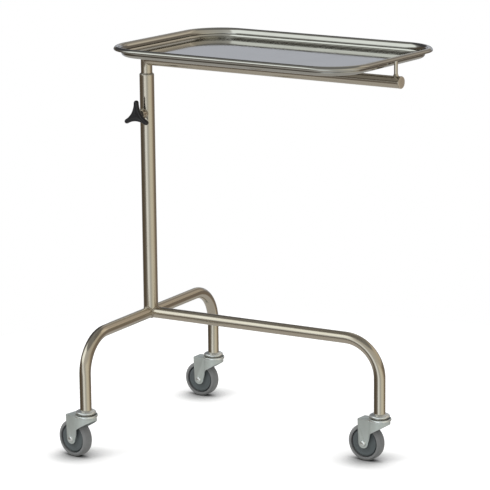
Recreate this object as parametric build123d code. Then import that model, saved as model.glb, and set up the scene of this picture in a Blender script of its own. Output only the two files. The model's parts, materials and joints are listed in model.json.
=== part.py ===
from build123d import *
import math
import os

# A mayo instrument stand: a three-legged tube base on swivel casters, a
# telescopic column at its rear, and an arm that carries a loose tray.
# Millimetres, +Z up, floor at z = 0. The spine of the base runs along +X.
# The origin is on the floor, at the middle of the whole stand's footprint.

# Round tubes of the base, the arm and the inner column
tube_od = 25.0
tube_wall = 1.5

# Base frame
spine_height = 263.0
rear_half_span = 268.0
front_reach = 565.0
bend_radius = 80.0

# Outer column and its guide bush
column_od = 32.0
column_wall = 1.5
column_top = 791.0
bush_length = 60.0
bush_lip = 4.5
bush_lip_chamfer = 3.0

# Inner column and its bottom glide
foot_room = 22.5
glide_length = 22.0
glide_floor = 4.0

# Arm
rest_gap = 17.0
arm_overhang = 14.25
swing_at_rest = -4.5
end_cap_thickness = 2.0
end_cap_spigot = 8.0

# Clamp on the column
clamp_below_bush = 23.0
boss_od = 17.0
boss_reach = 12.0
stud_od = 10.0
pad_thickness = 4.0
pad_od = 9.0
knob_radius = 33.0
knob_lobe_radius = 5.0
knob_waist = 12.5
knob_thickness = 10.0
knob_edge = 2.0
knob_neck = 9.0
knob_neck_od = 17.0
knob_gap = 3.0
stud_grip = 14.0

# Tray
rim_above_arm = 52.0
tray_length = 615.0
tray_width = 405.0
tray_corner = 92.0
tray_depth = 21.0
tray_sheet = 1.2
rim_width = 15.5
rim_rise = 5.0
rim_lip = 7.5
tray_wall_lean = 2.0
tray_bottom_radius = 7.0
tray_left = 19.5

# Rod ring under the tray's rim, on two posts
ring_rod = 6.0
post_od = 8.0

# Casters
wheel_od = 80.0
tyre_width = 24.0
tyre_depth = 8.0
tyre_chamfer = 3.0
hub_recess = 2.5
hub_boss_od = 24.0
groove_width = 2.2
groove_depth = 2.0
axle_od = 8.0
sleeve_od = 11.0
bolt_head_od = 13.0
bolt_head_height = 4.0
nut_flats = 13.0
nut_height = 6.0
trail = 32.0
fork_sheet = 2.0
fork_gap = 26.0
fork_over_wheel = 12.5
fork_head_od = 46.0
leg_end_radius = 11.5
leg_half_width = 14.0
web_reach = 20.0
web_rise = 24.0
head_dish_od = 50.0
head_dish_height = 4.5
race_od = 44.0
race_thickness = 3.0
race_hub_od = 32.0
race_hub_rise = 4.0
bearing_od = 38.0
bearing_height = 7.0
bearing_bore = 26.0
kingpin_od = 10.0
kingpin_head_od = 18.0
kingpin_head_height = 3.0
stem_rise = 36.0
plug_length = 44.0
caster_turns = {"front": -5.0, "left": -2.0, "right": -10.0}

# Clearances
running = 0.05
plain_gap = 0.5

# Worked out from the values above
tube_r = tube_od / 2
tube_bore_r = tube_r - tube_wall
column_r = column_od / 2
column_bore_r = column_r - column_wall
wheel_r = wheel_od / 2
axle_height = wheel_r
fork_top = wheel_od + fork_over_wheel
race_low = fork_top + bearing_height + plain_gap
leg_end_height = race_low + race_thickness + race_hub_rise
inner_bottom = spine_height + tube_r + glide_floor + foot_room
clamp_height = column_top - bush_length - clamp_below_bush
arm_height = column_top + bush_lip + rest_gap + tube_r
rim_top = arm_height + rim_above_arm
ring_inset = rim_width / 2
rear_post = tray_left + ring_inset
front_post = tray_left + tray_length - ring_inset
arm_end = front_post + arm_overhang
caster_places = {
    "front": (front_reach, 0.0),
    "left": (0.0, rear_half_span),
    "right": (0.0, -rear_half_span),
}


def disc(radius, low, high):
    # a round bar standing on the Z axis between two heights
    base = (Align.CENTER, Align.CENTER, Align.MIN)
    return Pos(0, 0, low) * Cylinder(radius, high - low, align=base)


def ring(outer, bore, low, high):
    return disc(outer, low, high) - disc(bore, low, high)


def turned(points):
    # a solid turned about the Z axis from (radius, height) points
    outline = make_face(Polyline(*points, close=True))
    return revolve(Plane.XZ * outline, axis=Axis.Z)


def bent_tube(points):
    # a round tube along straight runs with one bend radius
    path = FilletPolyline(*points, radius=bend_radius)
    start = Plane(origin=path @ 0, z_dir=path % 0)
    return sweep(start * (Circle(tube_r) - Circle(tube_bore_r)), path=path)


def along_x(radius, start, end, height):
    return Pos(start, 0, height) * Rot(0, 90, 0) * disc(radius, 0, end - start)


def along_y(radius, start, end, height):
    return Pos(0, start, height) * Rot(-90, 0, 0) * disc(radius, 0, end - start)


def cross_tube():
    # rear bar of the base, bent down at both ends into the rear legs
    left, right = rear_half_span, -rear_half_span
    return bent_tube([
        (0, right, leg_end_height), (0, right, spine_height),
        (0, left, spine_height), (0, left, leg_end_height),
    ])


def spine_tube():
    # forward bar, saddled onto the cross tube and bent down into the front leg
    bar = bent_tube([
        (0, 0, spine_height), (front_reach, 0, spine_height),
        (front_reach, 0, leg_end_height),
    ])
    return bar - along_y(tube_r, -tube_od, tube_od, spine_height)


def clamp_axis():
    # stands Z along the clamp, pointing away from the column towards -Y
    return Pos(0, 0, clamp_height) * Rot(90, 0, 0)


def clamp_bore():
    return clamp_axis() * disc(stud_od / 2 + running, 0, column_r + boss_reach)


def column_tube():
    # outer column, coped over both bars of the base
    tube = ring(column_r, column_bore_r, spine_height, column_top)
    tube -= along_y(tube_r, -column_od, column_od, spine_height)
    tube -= along_x(tube_r, 0, column_od, spine_height)
    return tube - clamp_bore()


def guide_bush():
    # plastic guide pressed into the top of the outer column
    bore = tube_r + running
    lip_top = column_top + bush_lip
    return turned([
        (bore, column_top - bush_length), (column_bore_r, column_top - bush_length),
        (column_bore_r, column_top), (column_r, column_top),
        (column_r, lip_top - bush_lip_chamfer), (column_r - bush_lip_chamfer, lip_top),
        (bore, lip_top),
    ])


def clamp_boss():
    # threaded boss welded to the column
    boss = clamp_axis() * disc(boss_od / 2, 0, column_r + boss_reach)
    return boss - disc(column_r, clamp_height - boss_od, clamp_height + boss_od) - clamp_bore()


def column_glide():
    # plastic cup that guides the foot of the inner column
    low = inner_bottom - glide_floor
    cup = disc(column_bore_r - running, low, low + glide_length)
    return cup - disc(tube_r + running, inner_bottom, low + glide_length)


def mitre_side():
    # everything above and in front of the mitre between column and arm
    block = 4 * tube_od
    half = Box(block, block, block, align=(Align.CENTER, Align.CENTER, Align.MIN))
    return Pos(0, 0, arm_height) * Rot(0, 45, 0) * half


def inner_column():
    tube = ring(tube_r, tube_bore_r, inner_bottom, arm_height + tube_r)
    return tube - mitre_side()


def arm_tube():
    # arm, mitred onto the inner column, and cut short for its end cap
    end = arm_end - end_cap_thickness
    near = tube_od
    tube = along_x(tube_r, -tube_r, near, arm_height) & mitre_side()
    tube += along_x(tube_r, near, end, arm_height)
    return tube - along_x(tube_bore_r, -tube_r, end, arm_height)


def arm_end_cap():
    low = arm_end - end_cap_thickness
    plate = along_x(tube_r, low, arm_end, arm_height)
    return plate + along_x(tube_bore_r, low - end_cap_spigot, low, arm_height)


def around_rectangle(section, length, width, corner):
    # carries a section, drawn inwards from x = 0, round a rounded rectangle
    bend = revolve(Pos(corner, 0, 0) * section, axis=Axis.Z, revolution_arc=90)
    loop = None
    for quarter in range(4):
        along, across = (length / 2, width / 2)
        if quarter % 2:
            along, across = across, along
        turn = Rot(0, 0, 90 * quarter)
        side = Pos(along, 0, 0) * extrude(section, amount=across - corner, both=True)
        piece = turn * (side + Pos(along - corner, across - corner, 0) * bend)
        loop = piece if loop is None else loop + piece
    return loop


def tray_skin(inset):
    # rim and wall of the tray, a sheet's depth below the upper face by inset
    dome_r = (rim_width ** 2 / 4 + rim_rise ** 2) / (2 * rim_rise)
    half = rim_width / 2 - inset
    shoulder = math.sqrt((dome_r - inset) ** 2 - half ** 2) - dome_r
    floor = tray_sheet - tray_depth - inset
    wall = -rim_width + inset
    floor_edge = -rim_width - tray_wall_lean - 2 * tray_bottom_radius
    lip = Line((-inset, -rim_lip), (-inset, shoulder))
    dome = ThreePointArc((-inset, shoulder), (-rim_width / 2, -inset), (wall, shoulder))
    pan = FilletPolyline(
        (wall, shoulder), (wall - tray_wall_lean, floor), (floor_edge, floor),
        radius=tray_bottom_radius + inset,
    )
    return [lip, dome] + list(pan.edges())


def tray():
    # pressed tray with a rolled rim
    upper = tray_skin(0)
    lower = tray_skin(tray_sheet)
    floor_edge = -rim_width - tray_wall_lean - 2 * tray_bottom_radius
    floor_top = tray_sheet - tray_depth
    outline = upper + lower + [
        Line((0, -rim_lip), (-tray_sheet, -rim_lip)),
        Line((floor_edge, floor_top), (floor_edge, -tray_depth)),
    ]
    section = Plane.XZ * make_face(outline)
    rim = around_rectangle(section, tray_length, tray_width, tray_corner)
    floor = RectangleRounded(
        tray_length + 2 * floor_edge, tray_width + 2 * floor_edge, tray_corner + floor_edge,
    )
    rim += Pos(0, 0, -tray_depth) * extrude(floor, amount=tray_sheet)
    return Pos(tray_left + tray_length / 2, 0, rim_top) * rim


def ring_height():
    return rim_top - tray_sheet - plain_gap - ring_rod / 2


def tray_ring():
    # closed rod ring that nests under the rolled rim
    section = Plane.XZ * Pos(-ring_rod / 2, 0) * Circle(ring_rod / 2)
    spread = ring_rod - 2 * ring_inset
    loop = around_rectangle(
        section, tray_length + spread, tray_width + spread, tray_corner + spread / 2,
    )
    return Pos(tray_left + tray_length / 2, 0, ring_height()) * loop


def ring_post(place):
    # upright between the arm and the rod ring, saddled onto both
    post = Pos(place, 0, 0) * disc(post_od / 2, arm_height, ring_height())
    post -= along_x(tube_r, place - post_od, place + post_od, arm_height)
    return post - Pos(place, 0, 0) * along_y(ring_rod / 2, -post_od, post_od, ring_height())


def pressure_pad():
    near = tube_r + plain_gap
    return clamp_axis() * disc(pad_od / 2, near, near + pad_thickness)


def knob_start():
    return column_r + boss_reach + knob_gap


def clamp_stud():
    start = tube_r + plain_gap + pad_thickness
    return clamp_axis() * disc(stud_od / 2, start, knob_start() + stud_grip)


def knob_outline():
    # three round lobes joined by hollow sides, each tangent to its two lobes
    lobe = knob_lobe_radius
    reach = knob_radius - lobe
    hollow = (reach ** 2 + knob_waist ** 2 - reach * knob_waist - lobe ** 2)
    hollow /= reach + 2 * lobe - 2 * knob_waist
    edges = []
    for turn in (90, 210, 330):
        tip, after, before, following = (
            Vector(length, 0).rotate(Axis.Z, turn + angle) for length, angle in
            ((reach, 0), (hollow + knob_waist, 60), (hollow + knob_waist, -60), (reach, 120))
        )
        start = tip + (before - tip).normalized() * lobe
        end = tip + (after - tip).normalized() * lobe
        peak = tip.normalized() * knob_radius
        edges.append(ThreePointArc(start, peak, end))
        waist = after.normalized() * knob_waist
        edges.append(ThreePointArc(end, waist, following + (after - following).normalized() * lobe))
    return make_face(edges)


def clamp_knob():
    # three-lobed knob on a short neck
    head = extrude(knob_outline(), amount=knob_thickness)
    head = chamfer(head.faces().sort_by(Axis.Z)[-1].edges(), knob_edge)
    head = chamfer(head.faces().sort_by(Axis.Z)[0].edges(), knob_edge)
    low = knob_start()
    neck = disc(knob_neck_od / 2, low, low + knob_neck)
    knob = neck + Pos(0, 0, low + knob_neck) * head
    return clamp_axis() * (knob - disc(stud_od / 2, low, low + stud_grip))


def stem_plug():
    # expander pressed into the end of a leg
    plug = disc(tube_bore_r, leg_end_height, leg_end_height + plug_length)
    return plug - disc(kingpin_od / 2, leg_end_height, leg_end_height + stem_rise)


def top_race():
    # fixed upper race, clamped against the end of the leg
    edge = race_thickness / 3
    low = race_low
    return turned([
        (kingpin_od / 2, low), (race_od / 2 - edge, low), (race_od / 2, low + edge),
        (race_od / 2, low + race_thickness - edge), (race_od / 2 - edge, low + race_thickness),
        (race_hub_od / 2, low + race_thickness), (race_hub_od / 2 - edge, leg_end_height),
        (kingpin_od / 2, leg_end_height),
    ])


def kingpin():
    # swivel pin, headed under the fork
    head_top = fork_top - fork_sheet - plain_gap
    pin = disc(kingpin_od / 2, head_top, leg_end_height + stem_rise)
    return pin + disc(kingpin_head_od / 2, head_top - kingpin_head_height, head_top)


def bearing_ring():
    # ball race between the fork and the upper race
    return ring(bearing_od / 2, bearing_bore / 2, fork_top, fork_top + bearing_height)


def fork_side():
    # outline of a fork leg and its web, seen from the side
    back = -trail - leg_half_width
    front = head_dish_od / 2
    foot = -trail
    web_low = axle_height + web_rise
    return make_face([
        Line((back, fork_top), (front, fork_top)),
        Line((front, fork_top), (front, fork_top - 3 * fork_sheet)),
        Line((front, fork_top - 3 * fork_sheet), (foot + web_reach, web_low)),
        Line((foot + web_reach, web_low), (foot + leg_end_radius, axle_height)),
        ThreePointArc(
            (foot + leg_end_radius, axle_height), (foot, axle_height - leg_end_radius),
            (foot - leg_end_radius, axle_height),
        ),
        Line((foot - leg_end_radius, axle_height), (back, fork_top)),
    ])


def fork_plan(shrink, back):
    # head circle and the space between the legs, seen from above
    head = Circle(fork_head_od / 2 - shrink)
    width = fork_gap + 2 * fork_sheet - 2 * shrink
    return head + Pos(back / 2, 0) * Rectangle(-back, width)


def fork():
    # pressed fork: round head, two legs with webs, and a dished lower race
    back = -trail - leg_half_width
    side = extrude(Plane.XZ * fork_side(), amount=head_dish_od, both=True)
    body = side & extrude(fork_plan(0, back), amount=fork_top)
    body -= extrude(fork_plan(fork_sheet, back - 1), amount=fork_top - fork_sheet)
    dish_r = head_dish_od / 2
    lip = dish_r - fork_sheet
    top = fork_top + head_dish_height
    body += turned([
        (bearing_od / 2 + plain_gap, fork_top - fork_sheet),
        (fork_head_od / 2 - fork_sheet, fork_top - fork_sheet),
        (dish_r, fork_top), (dish_r, top), (lip, top), (lip, fork_top + fork_sheet),
        (bearing_od / 2 + plain_gap, fork_top),
    ])
    body -= disc(kingpin_od / 2 + running, fork_top - 2 * fork_sheet, fork_top)
    half = fork_gap / 2 + fork_sheet
    return body - Pos(-trail, 0, 0) * along_y(axle_od / 2, -half, half, axle_height)


def on_axle():
    # stands Z along the axle of a caster's wheel, towards +Y
    return Pos(-trail, 0, axle_height) * Rot(-90, 0, 0)


def axle_sleeve():
    return on_axle() * ring(sleeve_od / 2, axle_od / 2, -fork_gap / 2, fork_gap / 2)


def axle_bolt():
    # shank through both legs with a domed head
    face = fork_gap / 2 + fork_sheet
    shank = disc(axle_od / 2, -face, face + nut_height + fork_sheet)
    head_r = bolt_head_od / 2
    crown = head_r / 2
    head = turned([
        (0, -face), (head_r, -face), (head_r, -face - bolt_head_height / 4),
        (head_r - crown / 4, -face - bolt_head_height * 2 / 3),
        (crown, -face - bolt_head_height), (0, -face - bolt_head_height),
    ])
    return on_axle() * (shank + head)


def axle_nut():
    face = fork_gap / 2 + fork_sheet
    nut = extrude(RegularPolygon(nut_flats / 2, 6, major_radius=False), amount=nut_height)
    nut = Pos(0, 0, face) * nut
    return on_axle() * (nut - disc(axle_od / 2, face, face + nut_height))


def wheel_hub():
    # moulded wheel centre, recessed beside the tyre and grooved round its edge
    boss = fork_gap / 2 - plain_gap
    web = tyre_width / 2 - hub_recess
    groove = web - groove_depth
    rim = wheel_r - tyre_depth
    bore = sleeve_od / 2 + running
    half = [
        (bore, boss), (hub_boss_od / 2, boss), (hub_boss_od / 2, web),
        (rim - groove_width, web), (rim - groove_width, groove), (rim, groove),
    ]
    mirrored = [(radius, -height) for radius, height in reversed(half)]
    return on_axle() * turned(half + mirrored)


def tyre():
    half_width = tyre_width / 2
    inner = wheel_r - tyre_depth
    return on_axle() * turned([
        (inner, -half_width), (wheel_r - tyre_chamfer, -half_width),
        (wheel_r, -half_width + tyre_chamfer), (wheel_r, half_width - tyre_chamfer),
        (wheel_r - tyre_chamfer, half_width), (inner, half_width),
    ])


def caster_pieces():
    # one caster's pieces, with its swivel axis on Z
    return {
        "stem_plug": stem_plug(),
        "kingpin": kingpin(),
        "top_race": top_race(),
        "bearing_ring": bearing_ring(),
        "fork": fork(),
        "axle_sleeve": axle_sleeve(),
        "axle_bolt": axle_bolt(),
        "axle_nut": axle_nut(),
        "wheel_hub": wheel_hub(),
        "tyre": tyre(),
    }


def stand():
    # every piece of the stand by name, about the foot of the column
    pieces = {
        "cross_tube": cross_tube(),
        "spine_tube": spine_tube(),
        "column_tube": column_tube(),
        "clamp_boss": clamp_boss(),
        "guide_bush": guide_bush(),
        "column_glide": column_glide(),
        "clamp_knob": clamp_knob(),
        "clamp_stud": clamp_stud(),
        "pressure_pad": pressure_pad(),
    }
    swung = {
        "inner_column": inner_column(),
        "arm_tube": arm_tube(),
        "arm_end_cap": arm_end_cap(),
        "rear_ring_post": ring_post(rear_post),
        "front_ring_post": ring_post(front_post),
        "tray_ring": tray_ring(),
        "tray": tray(),
    }
    for name, piece in swung.items():
        pieces[name] = Rot(0, 0, swing_at_rest) * piece
    for name, piece in caster_pieces().items():
        for corner, (x, y) in caster_places.items():
            place = Pos(x, y, 0) * Rot(0, 0, caster_turns[corner])
            pieces[corner + "_" + name] = place * piece
    return pieces


def footprint_centre(pieces):
    box = Compound(children=[Compound(piece.solids()) for piece in pieces.values()]).bounding_box()
    return (box.min.X + box.max.X) / 2, (box.min.Y + box.max.Y) / 2


os.makedirs("parts", exist_ok=True)
all_pieces = stand()
centre_x, centre_y = footprint_centre(all_pieces)
for name, piece in all_pieces.items():
    solids = (Pos(-centre_x, -centre_y, 0) * piece).solids()
    export_step(solids[0] if len(solids) == 1 else Compound(solids), "parts/" + name + ".step")
print("column axis at", round(-centre_x, 3), round(-centre_y, 3))
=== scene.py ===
import bpy
import bmesh
import json
import math
from mathutils import Matrix, Vector


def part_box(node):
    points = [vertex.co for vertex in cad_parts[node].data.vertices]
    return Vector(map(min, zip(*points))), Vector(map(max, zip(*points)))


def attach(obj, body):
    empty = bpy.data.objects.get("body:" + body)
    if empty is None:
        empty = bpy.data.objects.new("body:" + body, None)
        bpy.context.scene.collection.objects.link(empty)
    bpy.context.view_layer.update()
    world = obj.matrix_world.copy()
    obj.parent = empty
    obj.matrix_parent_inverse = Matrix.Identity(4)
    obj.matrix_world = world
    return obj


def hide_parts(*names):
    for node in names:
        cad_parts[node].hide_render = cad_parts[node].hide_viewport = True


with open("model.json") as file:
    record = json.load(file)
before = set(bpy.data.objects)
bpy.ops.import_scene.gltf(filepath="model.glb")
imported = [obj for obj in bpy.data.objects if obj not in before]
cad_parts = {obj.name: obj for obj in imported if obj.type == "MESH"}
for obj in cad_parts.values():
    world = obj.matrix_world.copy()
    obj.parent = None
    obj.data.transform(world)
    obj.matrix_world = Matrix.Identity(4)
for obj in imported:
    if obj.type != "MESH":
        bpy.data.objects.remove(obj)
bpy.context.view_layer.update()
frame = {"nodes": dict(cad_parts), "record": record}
print("frame loaded:", len(frame["nodes"]), "nodes")

mm = 0.001
casters = ("front", "left", "right")


def boxCentre(node):
    low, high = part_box(node)
    return (low + high) / 2


def boxSize(node):
    low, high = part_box(node)
    return high - low


def heights(node):
    # a node's lowest and highest point, in millimetres
    return tuple(corner.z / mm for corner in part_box(node))


def turned(degrees, axis):
    return Matrix.Rotation(math.radians(degrees), 4, axis)


def addObject(name, data):
    made = bpy.data.objects.new(name, data)
    bpy.context.scene.collection.objects.link(made)
    return made


columnAxis = Vector((boxCentre("column_tube").x, boxCentre("column_tube").y, 0))
armReach = boxCentre("arm_end_cap") - columnAxis
armPlace = (Matrix.Translation(columnAxis)
            @ Matrix.Rotation(math.atan2(armReach.y, armReach.x), 4, "Z"))


def casterPlace(corner):
    # stands on the floor under a caster's swivel, with the wheel trailing along -X
    pin, axle = boxCentre(corner + "_kingpin"), boxCentre(corner + "_axle_sleeve")
    turn = math.atan2(pin.y - axle.y, pin.x - axle.x)
    return Matrix.Translation((pin.x, pin.y, 0)) @ Matrix.Rotation(turn, 4, "Z")


# camera, solved from the straight tubes of the photograph
cameraSpec = {
    "focalPixels": 2488.6, "imagePixels": 490, "sensor": 36.0,
    "yaw": 29.906, "pitch": 12.627, "roll": 0.556,
    "distance": 5.3425, "targetFromColumn": (0.2411, 0.0, 0.4382),
}


def placeCamera():
    spec = cameraSpec
    data = bpy.data.cameras.new("photoCamera")
    data.sensor_width = spec["sensor"]
    data.lens = spec["focalPixels"] / spec["imagePixels"] * spec["sensor"]
    data.clip_end = 100
    cam = addObject("photoCamera", data)
    turn = turned(spec["yaw"], "Z") @ turned(90 - spec["pitch"], "X")
    target = columnAxis + Vector(spec["targetFromColumn"])
    eye = target + turn.to_3x3() @ Vector((0, 0, spec["distance"]))
    cam.matrix_world = Matrix.Translation(eye) @ turn @ turned(-spec["roll"], "Z")
    bpy.context.scene.camera = cam


placeCamera()
print("camera placed")


# small helpers for node trees
def feed(tree, socket, value):
    # a socket takes a link from another node's output, or a constant
    if isinstance(value, bpy.types.NodeSocket):
        tree.links.new(value, socket)
    else:
        socket.default_value = value


def addNode(tree, kind, *feeds, **values):
    # feeds go to the inputs in order; a named value is the input of that name, or a setting
    made = tree.nodes.new(kind)
    for key, value in values.items():
        label = key.replace("_", " ")
        if label in made.inputs:
            feed(tree, made.inputs[label], value)
        else:
            setattr(made, key, value)
    for socket, value in zip(made.inputs, feeds):
        feed(tree, socket, value)
    return made


def newGroup(name, kind, outputs, inputs):
    # an input is given by its number, or by its socket's kind where it holds none
    group = bpy.data.node_groups.new(name, kind + "NodeTree")
    for label, value in inputs.items():
        socket = value if isinstance(value, str) else "Int" if isinstance(value, int) else "Float"
        made = group.interface.new_socket(label, in_out="INPUT", socket_type="NodeSocket" + socket)
        if socket != value:
            made.default_value = value
    result = "NodeSocketGeometry" if kind == "Geometry" else "NodeSocketFloat"
    for label in outputs:
        group.interface.new_socket(label, in_out="OUTPUT", socket_type=result)
    return group, group.nodes.new("NodeGroupInput").outputs, group.nodes.new("NodeGroupOutput").inputs


def mathNode(tree, operation, *feeds, clamp=False):
    return addNode(tree, "ShaderNodeMath", *feeds, operation=operation, use_clamp=clamp).outputs[0]


def times(tree, *feeds, **values):
    return mathNode(tree, "MULTIPLY", *feeds, **values)


def mixColours(tree, factor, a, b):
    made = addNode(tree, "ShaderNodeMix", factor, data_type="RGBA")
    feed(tree, made.inputs[6], a)
    feed(tree, made.inputs[7], b)
    return made.outputs[2]


def mapped(tree, value, low, high, onto=(0.0, 1.0), **values):
    # spreads the span from low to high over another
    return addNode(tree, "ShaderNodeMapRange", value, low, high, *onto, **values).outputs[0]


def objectNoise(tree, scale, **values):
    # clouding that is fixed to the piece
    spot = tree.nodes.new("ShaderNodeTexCoord").outputs["Object"]
    return addNode(tree, "ShaderNodeTexNoise", spot, Scale=scale, **values).outputs["Fac"]


# shader groups that several finishes share
def buildBrushLines():
    # fine polishing lines that run round a tube: needs the along attribute
    group, take, give = newGroup("brushLines", "Shader", ("Mask", "Height"),
                                 {"Lines per metre": 2500.0, "Strength": 0.3})
    along = addNode(group, "ShaderNodeAttribute", attribute_name="along").outputs["Fac"]
    normal = group.nodes.new("ShaderNodeTexCoord").outputs["Normal"]
    facing = addNode(group, "ShaderNodeVectorMath", normal, operation="SCALE", Scale=1.6)
    shift = addNode(group, "ShaderNodeCombineXYZ", times(group, along, take[0]))
    where = addNode(group, "ShaderNodeVectorMath", shift.outputs[0], facing.outputs[0], operation="ADD")
    noise = addNode(group, "ShaderNodeTexNoise", where.outputs[0], Scale=1.0, Detail=3.0,
                    Roughness=0.6).outputs["Fac"]
    feed(group, give[0], noise)
    feed(group, give[1], times(group, noise, take[1]))
    return group


def buildHandling():
    # broad smudges and slight clouding left by hands and cleaning cloths
    group, take, give = newGroup("handling", "Shader", ("Roughness", "Mask"),
                                 {"Scale": 14.0, "Low": 0.18, "High": 0.3})
    noise = objectNoise(group, take[0], Detail=4.0, Roughness=0.55, Distortion=0.4)
    feed(group, give[0], mapped(group, noise, low=0.3, high=0.7, onto=(take[1], take[2])))
    feed(group, give[1], noise)
    return group


def buildGrain():
    # fine even grain, as of moulded plastic, rubber or zinc plate
    group, take, give = newGroup("grain", "Shader", ("Height", "Mask"), {"Scale": 900.0, "Strength": 0.3})
    noise = objectNoise(group, take[0], Detail=2.0, Roughness=0.5)
    feed(group, give[0], times(group, noise, take[1]))
    feed(group, give[1], noise)
    return group


def buildEdgeWear():
    # where a finish is rubbed: the shape's sharp edges, broken up by clouding
    group, take, give = newGroup("edgeWear", "Shader", ("Mask",), {"Amount": 0.5, "Breakup": 120.0})
    sharp = group.nodes.new("ShaderNodeNewGeometry").outputs["Pointiness"]
    broken = times(group, mapped(group, sharp, low=0.52, high=0.62), objectNoise(group, take[1], Detail=3.0))
    feed(group, give[0], times(group, broken, take[0], clamp=True))
    return group


brushLines = buildBrushLines()
handling = buildHandling()
grain = buildGrain()
edgeWear = buildEdgeWear()
print("shader groups built")


def startMaterial(name):
    material = bpy.data.materials.new(name)
    material.use_nodes = True
    return material, material.node_tree, material.node_tree.nodes["Principled BSDF"]


def placeGroup(tree, group, **values):
    return addNode(tree, "ShaderNodeGroup", node_tree=group, **values).outputs


def finishShader(tree, shader, tone, rough, metal, height, strength, distance=0.0002):
    bump = addNode(tree, "ShaderNodeBump", Strength=strength, Distance=distance, Height=height)
    for label, value in (("Base Color", tone), ("Roughness", rough), ("Metallic", metal),
                         ("Normal", bump.outputs[0])):
        feed(tree, shader.inputs[label], value)


steelTones = {
    "tube": (0.585, 0.545, 0.475, 1), "tubeWarm": (0.53, 0.47, 0.385, 1),
    "tray": (0.51, 0.5, 0.47, 1), "collar": (0.62, 0.585, 0.52, 1),
    "weld": (0.46, 0.41, 0.34, 1), "pin": (0.5, 0.49, 0.46, 1),
}


def satinTube():
    material, tree, shader = startMaterial("satinTube")
    smudge = placeGroup(tree, handling, Scale=9.0, Low=0.12, High=0.2)
    lines = placeGroup(tree, brushLines, Lines_per_metre=2600.0, Strength=0.5)
    tone = mixColours(tree, smudge["Mask"], steelTones["tube"], steelTones["tubeWarm"])
    shade = mathNode(tree, "ADD", times(tree, lines["Mask"], 0.12), 0.94)
    toned = addNode(tree, "ShaderNodeVectorMath", tone, operation="SCALE", Scale=shade)
    finishShader(tree, shader, toned.outputs[0], smudge["Roughness"], 1.0, lines["Height"], 0.045)
    return material


def coated(name, tone, cloud, low, high, fineness, depth, bump, wear, shades, metal):
    # clouding between two shades of a tone, fine grain, and paler rubbed edges
    material, tree, shader = startMaterial(name)
    smudge = placeGroup(tree, handling, Scale=cloud, Low=low, High=high)
    fine = placeGroup(tree, grain, Scale=fineness, Strength=depth)
    worn = placeGroup(tree, edgeWear, Amount=wear)
    darker = tuple(c * shades[0] for c in tone[:3]) + (1,)
    paler = tuple(min(1.0, c * shades[1] + shades[2]) for c in tone[:3]) + (1,)
    base = mixColours(tree, smudge["Mask"], tone, darker)
    finishShader(tree, shader, mixColours(tree, worn["Mask"], base, paler), smudge["Roughness"],
                 metal, fine["Height"], bump)
    return material


def plainSteel(name, tone, low, high, grainScale, bump, metal=1.0):
    return coated(name, tone, 18.0, low, high, grainScale, 0.5, bump, 0.5, (0.86, 1.25, 0.0), metal)


def mouldedPlastic(name, tone, rough, grainScale, bump, dusty):
    return coated(name, tone, 30.0, rough, rough + 0.14, grainScale, 0.6, bump, dusty, (0.8, 1.9, 0.03), 0.0)


finishes = {
    "satin_tube": satinTube(),
    "weld": plainSteel("weldSteel", steelTones["weld"], 0.3, 0.42, 700.0, 0.3),
    "collar_steel": plainSteel("collarSteel", steelTones["collar"], 0.2, 0.28, 1500.0, 0.08),
    "tray_steel": plainSteel("traySteel", steelTones["tray"], 0.04, 0.08, 1500.0, 0.0),
    "pin_steel": plainSteel("pinSteel", steelTones["pin"], 0.28, 0.36, 1200.0, 0.1),
    "cut_steel": plainSteel("cutSteel", (0.74, 0.66, 0.54, 1), 0.4, 0.5, 900.0, 0.15, 0.8),
    "pad_brass": plainSteel("padBrass", (0.62, 0.44, 0.2, 1), 0.25, 0.35, 1200.0, 0.1),
    "bright_zinc": plainSteel("brightZinc", (0.66, 0.72, 0.7, 1), 0.3, 0.4, 800.0, 0.12, 0.62),
    "polished_zinc": plainSteel("polishedZinc", (0.84, 0.87, 0.87, 1), 0.17, 0.26, 800.0, 0.05, 0.8),
    "knob_black": mouldedPlastic("knobBlack", (0.012, 0.012, 0.014, 1), 0.3, 1400.0, 0.15, 0.25),
    "plug_plastic": mouldedPlastic("plugPlastic", (0.05, 0.05, 0.05, 1), 0.45, 900.0, 0.2, 0.3),
    "hub_plastic": mouldedPlastic("hubPlastic", (0.115, 0.135, 0.14, 1), 0.42, 900.0, 0.25, 0.25),
    "tyre_grey": mouldedPlastic("tyreGrey", (0.26, 0.265, 0.265, 1), 0.52, 700.0, 0.3, 0.2),
}
print("finishes built:", len(finishes))


# mesh helpers
def meshObject(name, verts, faces, finish, smoothAngle=35.0):
    mesh = bpy.data.meshes.new(name)
    mesh.from_pydata(verts, [], faces)
    return finishMesh(name, mesh, finish, smoothAngle)


def finishMesh(name, mesh, finish, smoothAngle=35.0):
    work = bmesh.new()
    work.from_mesh(mesh)
    bmesh.ops.remove_doubles(work, verts=work.verts, dist=1e-6)
    bmesh.ops.recalc_face_normals(work, faces=work.faces)
    work.to_mesh(mesh)
    work.free()
    mesh.materials.clear()
    mesh.materials.append(finishes[finish])
    mesh.polygons.foreach_set("use_smooth", [True] * len(mesh.polygons))
    mesh.set_sharp_from_angle(angle=math.radians(smoothAngle))
    mesh.update()
    return addObject(name, mesh)


def arcPoints(centre, radius, start, end, count):
    # points on an arc, angles in degrees
    step = (end - start) / count
    angles = [math.radians(start + step * k) for k in range(count + 1)]
    return [(centre[0] + radius * math.cos(a), centre[1] + radius * math.sin(a)) for a in angles]


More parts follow.
